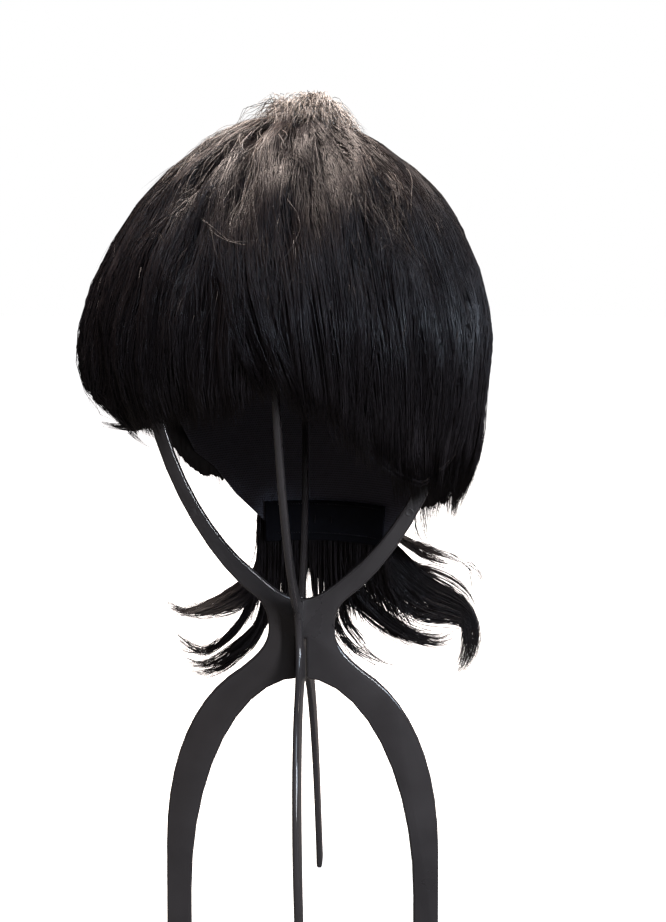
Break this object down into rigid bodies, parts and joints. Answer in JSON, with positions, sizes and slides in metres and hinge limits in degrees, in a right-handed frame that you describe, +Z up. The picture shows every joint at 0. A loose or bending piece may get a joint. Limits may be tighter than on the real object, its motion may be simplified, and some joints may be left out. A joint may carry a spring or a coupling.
{
  "type": "short wavy wig on a folding stand",
  "caption": "Short dark layered wig with a swept fringe and outward flipped nape locks, on a head-shaped stand of crossed slotted plates with splayed legs.",
  "frame": {"origin": "on the floor under the stand's upright axis", "axes": "+Z up, +X to the viewer's right along the wide plate, -Y the side that the fringe faces"},
  "size_m": [0.198, 0.1869, 0.3893],
  "materials": {
    "stand_plastic": "satin moulded dark grey plastic",
    "cap_net": "black elastic net with sewn hair wefts",
    "band_elastic": "black woven elastic with stitching",
    "hair": "dark brown-black fibre with a soft sheen"
  },
  "bodies": {
    "root": {"plate_wide": "stand_plastic", "plate_deep": "stand_plastic", "cap": "cap_net", "nape_band": "band_elastic", "fringe_left": "hair", "fringe_right": "hair", "side_right": "hair", "back_right": "hair", "back_left": "hair", "side_left": "hair", "crown_tuft": "hair", "nape_hair": "hair", "flip_left_1": "hair", "flip_left_2": "hair", "flip_left_3": "hair", "flip_left_4": "hair", "flip_right_1": "hair", "flip_right_2": "hair", "flip_right_3": "hair", "flip_right_4": "hair", "flip_right_5": "hair", "flip_right_6": "hair"}
  },
  "joints": []
}
